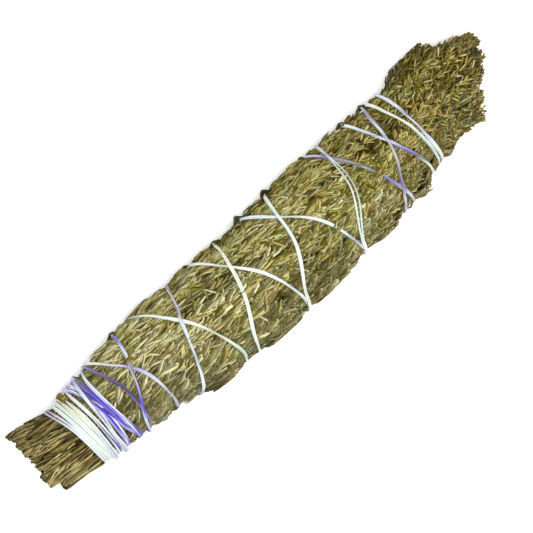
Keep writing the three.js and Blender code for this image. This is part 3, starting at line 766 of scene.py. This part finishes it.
# One twig of the roll's skin with its leaves.
def lyingTwig(index, leaves):
    reach = roll["sprayReach"][index]
    x = between(foliage["firstLeaf"], reach - 18)
    share = between(0, 1)
    level = between(-0.7, foliage["topLevel"])
    length = between(*foliage["twigLength"])
    degrees = sprayAngle(8, index, x, share)
    yaw = heading(x, degrees) + random.gauss(0, 5)
    angle = math.radians(yaw)
    side = random.choice((-1, 1))
    travelled = 0
    shade = random.gauss(0, 0.05)
    while travelled < length and x < reach - 7:
        for _ in range(random.choice((1, 1, 2, 3))):
            size, half, lean, tint = leafStyle(x)
            stray = random.gauss(0, foliageAt("stray", x))
            if random.random() < foliage["wildShare"]:
                stray += random.gauss(0, foliageAt("wild", x))
            lean = yaw + side * lean + stray
            if random.random() < foliageAt("leafMix", x, 2):
                size, half = size * 1.05, half * between(1.5, 2.3)
            if x + size < reach - 1 and not endsPastTip(x, degrees, size):
                tint = clamped(tint + shade)
                leaves.append(lyingLeaf(x, degrees, level + between(-0.25, 0.3), lean, size, half, tint))
            side = random.choice((-side, -side, side))
        step = foliage["leafStep"] * between(0.6, 2.6)
        travelled += step
        x += step * math.cos(angle)
        degrees += step * math.sin(angle) * degreesPerMillimetre


# A leaf somewhere on a spray, on its own.
def looseLeaf(index, leaves, lowest, highest, stray):
    x = between(foliage["firstLeaf"], roll["sprayReach"][index] - 8)
    degrees = sideAngle(8, index, x) + between(-0.02, 1.02) * 45
    size, half, lean, tint = leafStyle(x)
    stray *= foliageAt("looseStray", x)
    yaw = heading(x, degrees) + random.choice((-1, 1)) * lean * 0.7 + random.gauss(0, stray)
    if not endsPastTip(x, degrees, size):
        leaves.append(lyingLeaf(x, degrees, between(lowest, highest), yaw, size, half, tint))


# One leaf of a tuft that the thread has pushed up, dark with painted shade.
def tuftLeaf(x, degrees, tallest, leaves):
    away, degrees = between(-3, 3), degrees - 5 + random.gauss(0, 6)
    _, half, _, tint = leafStyle(x)
    size, towards = between(1.8, 3), -1 if away > 0 else 1
    levels = [1.2 + tallest * max(1 - abs(away + towards * t * size) / 2.6, -0.3) for t in (0, 0.5, 1)]
    share = between(0.2, 1.1)
    levels = [0.6 + (0.8 * level - 0.6) * share for level in levels]
    point, out, around = rollPlace(x + away, degrees, 1, levels[0])
    row = growthRow(
        point, np.array([towards, 0, 0]) + around * random.gauss(0, 0.2), out, length=size, half=half,
        thick=foliage["leafThick"], middleRise=levels[1] - levels[0], rise=levels[2] - levels[0],
        tint=tint * 0.75, hue=between(0, 0.5), depth=between(0.25, 0.7),
    )
    leaves.append(row)


# A thin bare twig lying on the leaves.
def bareTwig(index, twigs):
    x = between(-80, 50)
    degrees = sideAngle(8, index, x) + between(0, 1) * 45
    angle = math.radians(heading(x, degrees) + random.gauss(0, 12))
    length = between(7, 18)
    places = placesAlong(x, degrees, angle, length)
    levels = [min(between(0.7, 1.3), heightLimit(*place)) for place in places]
    row = lyingRow(
        x, degrees, angle, levels, 0, length=length, half=0.24, thick=0.24, depth=0.9,
        sway=between(-0.12, 0.12) * length, wave=between(-0.04, 0.04) * length, tint=between(0.5, 0.8),
    )
    twigs.append(row)


# A sprig at the free end, with short leaves all round it.
def sprig(root, tip, out, depth, leaves, twigs):
    length = np.linalg.norm(tip - root)
    ahead = (tip - root) / length
    side = np.cross(out, ahead)
    shade = random.gauss(0, 0.1)
    twigs.append(growthRow(root, ahead, out, length=length, half=0.33, thick=0.33, depth=depth, tint=0.72))
    travelled = between(0.5, 2)
    turn = between(0, 6.28)
    while travelled < length:
        t = travelled / length
        turn += foliage["sprigTurn"] + random.gauss(0, 0.8)
        lean = math.radians(between(*foliage["sprigLean"]) * (1 - 0.5 * t**3))
        away = side * math.cos(turn) + out * (0.75 * math.sin(turn))
        direction = ahead * math.cos(lean) + away * math.sin(lean)
        size = between(*foliage["sprigSize"]) * (1 - 0.25 * t**4)
        if travelled + size * math.cos(lean) > length + 1.5:
            size = max(1.5, size * 0.6)
        at = root + ahead * travelled
        travelled += foliage["sprigStep"] * between(0.7, 1.3)
        if pastTip(at + direction * size, 1.4):
            continue
        face = out if abs(math.sin(turn)) < 0.7 else side
        row = growthRow(
            at, direction, face, length=size, **drawn(foliage["sprigLeaf"]), hue=leafHue(at[0]),
            tint=clamped(leafStyle(at[0])[3] + shade), depth=depth * between(0.45, 1),
        )
        leaves.append(row)


# One of a spray's sprigs, its tip where the free end's outline lets it.
def tipSprig(index, count, inside, outside, leaves, twigs):
    degrees = sideAngle(count, index, 90) + between(0.02, 0.98) * 360 / count
    share = math.sqrt(between(inside**2, outside**2))
    end, _, _ = rollPlace(95, degrees, share, 1.5 * share)
    height = abs(end[2] - roll["axisHeight"]) / 13
    reach = min(float(smoothLine(roll["tipReach"], end[1])), 94 + 19 * max(1 - height**2.2, 0.05))
    reach -= abs(random.gauss(0, 1)) * 3
    root, out, _ = rollPlace(reach - between(14, 24), degrees, share * between(0.9, 1.02), -0.3)
    tip, _, _ = rollPlace(reach, degrees + random.gauss(0, 4), share, between(0, 1.9) * share)
    # sprigs deeper in the free end get more painted shade
    depth = clamped(0.35 + 0.8 * share, 0.4) * between(0.7, 1)
    sprig(root, tip, out, depth, leaves, twigs)


# The middle of a spray, which its leaves grow out of, painted dark as shade.
def sprayCore(count, index, inside, outside, end, channel):
    start = roll["sprayStart"]
    arcs = 7 if count == 8 else 9

    def ring(x):
        neck, crown = min((x - start) / 5, 1), min((end - x) / 14, 1)
        reach = outside * (1 - 0.05 * (1 - neck) - 0.1 * (1 - crown))
        _, halfZ = coreHalves(x)
        low, high = sideAngle(count, index, x), sideAngle(count, index + 1, x)

        def arc(share, proud, gap=0.15):
            inset = math.degrees(gap / max(float(halfZ) * share + proud, 1))
            angles = np.linspace(low + inset, high - inset, arcs)
            return rollPlace(np.full(arcs, x), angles, share, proud)[0]

        inner = arc(0, channel) if channel else arc(inside, 0)
        return np.concatenate([arc(reach, roll["coreProud"]), inner[::-1]])

    core, _, _ = grownForm([ring(x) for x in [*np.arange(start + 0.5, end - 2, 6), end]])
    return finishedMesh(core, "sprayCore")


def addObject(name, data):
    made = bpy.data.objects.new(name, data)
    bpy.context.scene.collection.objects.link(made)
    return made


def setCorners(mesh, points):
    points = insideFrame(pressOnTable(points)) * millimetre
    mesh.vertices.foreach_set("co", points.astype(np.float32).ravel())


def setAttribute(mesh, name, values):
    values = np.concatenate(values).astype(np.float32)
    kinds = {1: ("FLOAT", "value"), 3: ("FLOAT_VECTOR", "vector"), 4: ("FLOAT_COLOR", "color")}
    kind, field = kinds[values.size // len(values)]
    mesh.attributes.new(name, kind, "POINT").data.foreach_set(field, values.ravel())


# Joins a middle with its twigs and leaves into one piece that stands for a CAD node.
def makeGrown(name, node, material, base, baseLook, twigs, leaves, form=leafForm, endTint=0):
    whole = bmesh.new()
    whole.from_mesh(base)
    points = [formCorners(base)]
    baseValues = zip(("tint", "depth", "hue", "across"), (*baseLook, 0.5, 0))
    looks = {look: [np.full(len(points[0]), value)] for look, value in baseValues}
    looks["grain"] = [points[0] * foliage["grainStretch"]]
    for mesh, rows in ((twigForm, twigs), (form, leaves)):
        if not rows:
            continue
        for _ in rows:
            whole.from_mesh(mesh)
        corners = formCorners(mesh)
        bent = bendGrowth(corners, rows)
        points.append(bent)
        values = dict(zip(growthColumns, np.array(rows).T[9:]))
        towardsY, towardsTip = foliage["paler"]
        paler = towardsY * bent[:, 1] + towardsTip * np.maximum(bent[:, 0] - foliage["palerBeyond"], 0)
        looks["tint"].append(np.add.outer(values["tint"], endTint * (corners[:, 0] < 0.03)).ravel() + paler)
        # painted shade towards each leaf's root, where it lies under the leaves before it
        sunk = 0.5 + 0.5 * np.clip(corners[:, 0] / 0.4, 0, 1)
        # painted shade in the hollows, and painted light that falls off towards +Y
        light = hollowShade(bent) * (1 + foliage["lighter"] * bent[:, 1])
        looks["depth"].append(np.multiply.outer(values["depth"], sunk).ravel() * light)
        looks["hue"].append(np.repeat(values["hue"], len(corners)))
        looks["across"].append(np.tile(np.sign(np.round(corners[:, 1], 3)), len(rows)))
        apart = 37 * values["hue"] + 11 * values["tint"]  # so that no two share their fibres
        grain = [
            np.multiply.outer(values["length"], corners[:, 0]),
            np.multiply.outer(values["half"], corners[:, 1]),
            np.repeat(apart[:, None], len(corners), 1),
        ]
        looks["grain"].append(np.stack(grain, -1).reshape(-1, 3) * foliage["grainStretch"])
    made = bpy.data.meshes.new(name)
    whole.to_mesh(made)
    whole.free()
    setCorners(made, np.concatenate(points))
    for look, values in looks.items():
        setAttribute(made, look, values)
    made.materials.append(material)
    made.update()
    piece = addObject(name, made)
    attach(piece, "root")
    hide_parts(node)
    return piece


def makeSpray(name, node, core, leaves, twigs):
    # the middle's tint and depth: its low depth makes it nearly all painted shade
    made = makeGrown(name, node, leafMaterial, core, (0.2, 0.1), twigs, leaves)
    print(made.name, len(leaves), "leaves", len(made.data.polygons), "faces")


for index in range(8):
    leaves, twigs = [], []
    for _ in range(foliage["matLeaves"]):
        looseLeaf(index, leaves, -0.7, 0.3, 6)
    for _ in range(foliage["twigsPerSpray"]):
        lyingTwig(index, leaves)
    for _ in range(foliage["strayLeaves"]):
        looseLeaf(index, leaves, 0.5, 1.4, 30)
    for _ in range(foliage["bareTwigs"]):
        bareTwig(index, twigs)
    for _ in range(foliage["tipSprigs"]):
        tipSprig(index, 8, 0.52, 1, leaves, twigs)
    for x, degrees, tallest in foliage["tufts"]:
        if math.floor(degrees / 45 + 0.5) % 8 == index:
            for _ in range(foliage["tuftLeaves"]):
                tuftLeaf(x, degrees, tallest, leaves)
    for side, tip, root, depth in foliage["outSprigs"]:
        if side == index:
            sprig(np.array(root, float), np.array(tip, float), np.array([0, 0, 1.0]), depth, leaves, twigs)
    for x, degrees, shortest, longest in foliage["overThread"]:
        if round(degrees / 45) % 8 == index:
            for _ in range(4):
                yaw, tint, size = between(-25, 25), between(0.15, 0.4), between(shortest, longest)
                row = lyingLeaf(x - size / 2, degrees + between(-4, 4), 1.2, yaw, size, 0.5, tint, True)
                leaves.append(row)
    core = sprayCore(8, index, roll["sprayInside"], 1, roll["sprayReach"][index] - 9, 0)
    makeSpray(f"leafySpray{index + 1}", f"leafy_spray_{index + 1}", core, leaves, twigs)

for index in range(3):
    leaves, twigs = [], []
    for _ in range(foliage["heartSprigs"]):
        tipSprig(index, 3, 0.05, 0.5, leaves, twigs)
    core = sprayCore(3, index, 0, roll["heartOutside"], roll["heartReach"][index] - 12, 1.4)
    makeSpray(f"heartSpray{index + 1}", f"heart_spray_{index + 1}", core, leaves, twigs)

# the thread


# Three plies twisted together; where they part they lie side by side.
def threadPlies():
    shape = threadShape
    steps = np.linalg.norm(np.diff(threadPoints, axis=0), axis=1)
    travelled = np.concatenate([[0], np.cumsum(steps)])
    stations = np.linspace(0, travelled[-1], int(travelled[-1] / shape["plyStep"]))
    turns = np.interp(stations, travelled, threadTurns)
    middle = np.stack([np.interp(stations, travelled, threadPoints[:, i]) for i in range(3)], -1)
    out = np.stack([np.interp(stations, travelled, threadOuts[:, i]) for i in range(3)], -1)
    ahead = unit(np.gradient(middle, axis=0))
    side = unit(np.cross(ahead, out))
    up = np.cross(side, ahead)
    at, *spread = np.array([[*row, 0][:3] for row in shape["spread"]], float).T
    apart, over = (np.interp(turns, at, column) for column in spread)
    loose = np.clip(apart / 0.8, 0, 1)
    plies = []
    for ply in range(shape["plies"]):
        angle = 2 * math.pi * (stations / shape["twistLength"] + ply / shape["plies"])
        lane = apart * 0.5 * (over if ply == 1 else ply - 1)
        sideways = shape["twistRadius"] * np.cos(angle) * (1 - loose) + lane
        upwards = shape["twistRadius"] * np.sin(angle) * (1 - loose) + 0.3 * loose * over * (ply == 1)
        plies.append((turns + 0.015 * (ply - 1), middle + side * sideways[:, None] + up * upwards[:, None]))
    return plies


def dyeAndShadeAt(turns, ply):
    dyesAndShades = threadShape["dyesAndShades"].values()
    at, colours = zip(*sorted((turn, linear(plies[ply])) for plies, *places in dyesAndShades for turn in places))
    return np.stack([np.interp(turns, at, channel) for channel in zip(*colours)], -1)


def tubeAlong(name, points, radius):
    curve = bpy.data.curves.new(name, "CURVE")
    curve.dimensions = "3D"
    curve.bevel_depth = radius * millimetre
    curve.bevel_resolution = 1
    curve.use_fill_caps = True
    spline = curve.splines.new("POLY")
    spline.points.add(len(points) - 1)
    flat = np.concatenate([points * millimetre, np.ones((len(points), 1))], 1)
    spline.points.foreach_set("co", flat.ravel())
    holder = addObject(name, curve)
    mesh = bpy.data.meshes.new_from_object(holder)
    bpy.data.objects.remove(holder)
    bpy.data.curves.remove(curve)
    return mesh


def makeThread():
    whole = bmesh.new()
    colours = []
    for number, (turns, points) in enumerate(threadPlies()):
        mesh = tubeAlong("ply", points, threadShape["plyRadius"])
        corners = formCorners(mesh) / millimetre
        finder = kdtree.KDTree(len(points))
        for i, p in enumerate(points):
            finder.insert(p, i)
        finder.balance()
        nearest = np.array([finder.find(c)[1] for c in corners])
        colours.append(dyeAndShadeAt(turns, number)[nearest])
        setCorners(mesh, corners)
        whole.from_mesh(mesh)
    # the knot under the stick, a ball of close turns
    radius, wound = threadShape["knotRadius"], threadShape["knotWound"]
    t = np.linspace(0, 1, 150)
    wide = radius * np.sin(math.pi * t)
    ball = np.stack([wide * np.sin(t * wound), radius * np.cos(math.pi * t), wide * np.cos(t * wound)], -1)
    knot = tubeAlong("knot", threadPoints[-1] + ball, threadShape["knotThread"])
    whole.from_mesh(knot)
    colours.append(np.tile(linear(threadShape["knotColour"]), (len(knot.vertices), 1)))
    made = finishedMesh(whole, "bindingThread")
    setAttribute(made, "dyeAndShade", colours)
    made.materials.append(threadMaterial)
    piece = addObject("bindingThread", made)
    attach(piece, "root")
    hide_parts("binding_thread")
    return piece


made = makeThread()
print(made.name, len(made.data.polygons), "faces")

# the stalks

stalkShape = {
    # share of the radius at the butt, the bend and the neck, mm proud of that, thick end and thin end
    "outer": {"shares": (1, 1, 1), "proud": (0, -0.7, -2.35), "size": (1.75, 1.4), "thin": (1, 0.95)},
    "heart": {"shares": (0.53, 0.5, 0.31), "proud": (0, 0, 0), "size": (2.5, 2.1), "thin": (0.85, 0.85)},
    "middle": {"shares": (0, 0, 0), "proud": (0, 0, 0), "size": (2.4, 2.4), "thin": (1.1, 1.1)},
    "strips": {"outer": 44, "heart": 20},
    "strip": {
        "thick": (0.2, 0.5), "middleRise": (-0.2, 0.25), "rise": (-0.2, 0.15), "sway": (-1.2, 1.2),
        "wave": (-0.65, 0.65), "cup": (-0.15, 0.1), "twist": (-0.6, 0.6),
    },
    "broad": (0.7, 1.45),  # half widths
    "narrow": (0.2, 0.55),
    "stripsEnd": -88.5,
    "bendAt": -100,
    "inside": -84,
    "sides": 26,
    "stations": 16,
}


def makeStalk(number, kind, count, index, share, node):
    shape = stalkShape[kind]
    # the strips begin at the ragged end, the wood a little further in
    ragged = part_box(node)[0][0] / millimetre + between(-0.6, 1)
    end = ragged + between(1, 2.6)
    inside = stalkShape["inside"] if kind != "middle" else -60
    sides, stationCount = stalkShape["sides"], stalkShape["stations"]
    stations = np.concatenate([np.linspace(end, -97, stationCount - 3), [-94, -90, inside]])
    lobes = random.choice((2, 3, 4))
    phase, slant = between(0, 6.28), between(-0.6, 0.6)

    def ring(x, first):
        degrees = 0 if kind == "middle" else sprayAngle(count, index, x, share)
        knots = [end, stalkShape["bendAt"], -95]
        shareAt, proudAt = (np.interp(x, knots, shape[column]) for column in ("shares", "proud"))
        grow = np.interp(x, knots, [1, 0.75, 0])
        across, deep = (thin + (size - thin) * grow for thin, size in zip(shape["thin"], shape["size"]))
        point, out, around = rollPlace(x, degrees, shareAt, proudAt)
        turn = np.arange(sides) / sides * 2 * math.pi
        groove = 1 - 0.4 * np.abs(np.cos(lobes * turn + phase + slant * (x + 112) / 10)) ** 6
        rough = 1 + 0.05 * np.sin(turn * 5 + x * 1.3 + phase) + 0.04 * np.sin(x * 2.1 + phase * 3)
        size = groove * rough
        place = point + np.outer(np.cos(turn) * across * size, around)
        place += np.outer(np.sin(turn) * deep * size, out)
        if first:
            place[:, 0] += 0.35 * np.sin(turn + phase) + 0.2 * np.sin(turn * 3 + phase)
        return place

    stem, cut, _ = grownForm([ring(x, x == end) for x in stations])
    for thickness, depth in ((0.35, 0.0), (0.5, -0.25)):
        bmesh.ops.inset_region(stem, faces=[cut], thickness=thickness, depth=depth)
    stem.verts.index_update()
    cutCorners = [corner.index for corner in cut.verts]
    mesh = finishedMesh(stem, "stem")

    # strips of bark and leaf stubs that cling to it
    strips = []
    tone = random.gauss(0.49, 0.07)
    outside = 1.25 if kind == "outer" else 1.7
    for strip in range(stalkShape["strips"].get(kind, 0)):
        length = between(5, 18)
        last = max(stalkShape["stripsEnd"] - length, ragged)
        x = ragged + abs(random.gauss(0, 1.3)) if strip % 2 else between(ragged, last)
        broad = random.random() < 0.5
        degrees = sideAngle(count, index, x) + (share + between(-0.3, 0.3)) * 360 / count
        knots = [ragged, stalkShape["bendAt"], -96]
        proud = np.interp([x, x + length], knots, [outside, outside * 0.55, between(-1.2, 0)])
        shares = np.interp([x, x + length], knots, [*shape["shares"][:2], shape["shares"][0]])
        sunk = between(-0.65, 0.35)
        swell = [bulge(at, degrees) if kind == "outer" else 0 for at in (x, x + length)]
        point, out, around = rollPlace(x, degrees, shares[0], proud[0] + sunk + swell[0])
        far, _, _ = rollPlace(x + length, degrees, shares[1], proud[1] + min(sunk, 0) + swell[1] * 0.6)
        length = np.linalg.norm(far - point)
        ahead = (far - point) / length + around * math.sin(math.radians(between(-8, 8)))
        # strips sunk deeper get more painted shade through their depth
        row = growthRow(
            point, ahead, out, length=length, half=between(*stalkShape["broad" if broad else "narrow"]),
            **drawn(stalkShape["strip"]), hue=random.random(), tint=min(random.gauss(tone, 0.16), 0.72),
            depth=clamped(between(0.5, 0.85) + 1.1 * sunk, 0.08),
        )
        strips.append(row)
    # the stem's depth of 0.6 gives it painted shade
    name, look = f"stalk{number:02d}", (between(0.3, 0.5), 0.6)
    made = makeGrown(name, node, stalkMaterial, mesh, look, [], strips, stripForm, 0.3)
    # the cut face is golden and gets no painted shade
    for i in cutCorners:
        made.data.attributes["tint"].data[i].value = 0.95
        made.data.attributes["depth"].data[i].value = 1


number = 0
for kind, count in (("outer", 8), ("heart", 3)):
    for index in range(count):
        for share in (0.27, 0.73):
            number += 1
            makeStalk(number, kind, count, index, share, f"stalk_{number:02d}")
makeStalk(23, "middle", 1, 0, 0, "stalk_23")
print("stalks made:", number + 1)

# table, light and camera

studio = {
    "photoWidth": 193.7,  # mm that the photograph shows at the stick's middle height
    "photoMiddle": (0.23, 0.33),
    "photoTurn": -42.98,
    "cameraHeight": 1500,
    "stickMiddle": 17,
    "sensor": 36,
}


def makeTable():
    surface = bmesh.new()
    bmesh.ops.create_grid(surface, x_segments=4, y_segments=4, size=3.0)
    bmesh.ops.translate(surface, vec=(0, 0, -0.0002), verts=surface.verts)
    mesh = bpy.data.meshes.new("table")
    surface.to_mesh(mesh)
    surface.free()
    # a pale matt board
    material, tree, shader = newMaterial("paleTable")
    place = addNode(tree, "TexCoord")
    cloud = addNode(tree, "TexNoise", None, {"Scale": 3}, {"Vector": place.outputs["Object"]})
    ramp = addNode(tree, "ValToRGB", None, None, {"Fac": cloud.outputs["Fac"]})
    rampColours(ramp, [(0.3, "#f6f6f6"), (0.7, "#fafafa")])
    tree.links.new(ramp.outputs["Color"], shader.inputs["Base Color"])
    shader.inputs["Roughness"].default_value = 0.9
    shader.inputs["Emission Color"].default_value = (1, 1, 1, 1)
    shader.inputs["Emission Strength"].default_value = 0.22  # a light table, so the shadow stays pale
    mesh.materials.append(material)
    table = addObject("table", mesh)


# A round lamp that shines on the frame's origin.
def addLamp(name, place, size, watts):
    lamp = bpy.data.lights.new(name, "AREA")
    lamp.shape = "DISK"
    lamp.size = size
    lamp.energy = watts
    holder = addObject(name, lamp)
    holder.location = place
    holder.rotation_euler = (-Vector(place)).to_track_quat("-Z", "Y").to_euler()


makeTable()
addLamp("keyLamp", (0.1, -0.16, 1.3), 0.5, 18)
addLamp("fillLamp", (-0.4, 0, 1.2), 1.2, 7)
world = bpy.data.worlds.new("studioRoom")
world.use_nodes = True
world.node_tree.nodes["Background"].inputs["Color"].default_value = (1, 1, 1, 1)
world.node_tree.nodes["Background"].inputs["Strength"].default_value = 0.43
bpy.context.scene.world = world

camera = bpy.data.cameras.new("photoCamera")
camera.sensor_width = studio["sensor"]
camera.lens = studio["sensor"] * (studio["cameraHeight"] - studio["stickMiddle"]) / studio["photoWidth"]
camera.clip_start = 0.05
camera.clip_end = 20
cameraHolder = addObject("photoCamera", camera)
cameraHolder.location = [v * millimetre for v in (*studio["photoMiddle"], studio["cameraHeight"])]
cameraHolder.rotation_euler = (0, 0, math.radians(studio["photoTurn"]))
bpy.context.scene.camera = cameraHolder
bpy.context.scene.view_settings.view_transform = "Standard"  # the photograph's whites and violets, untoned

print("scene done")
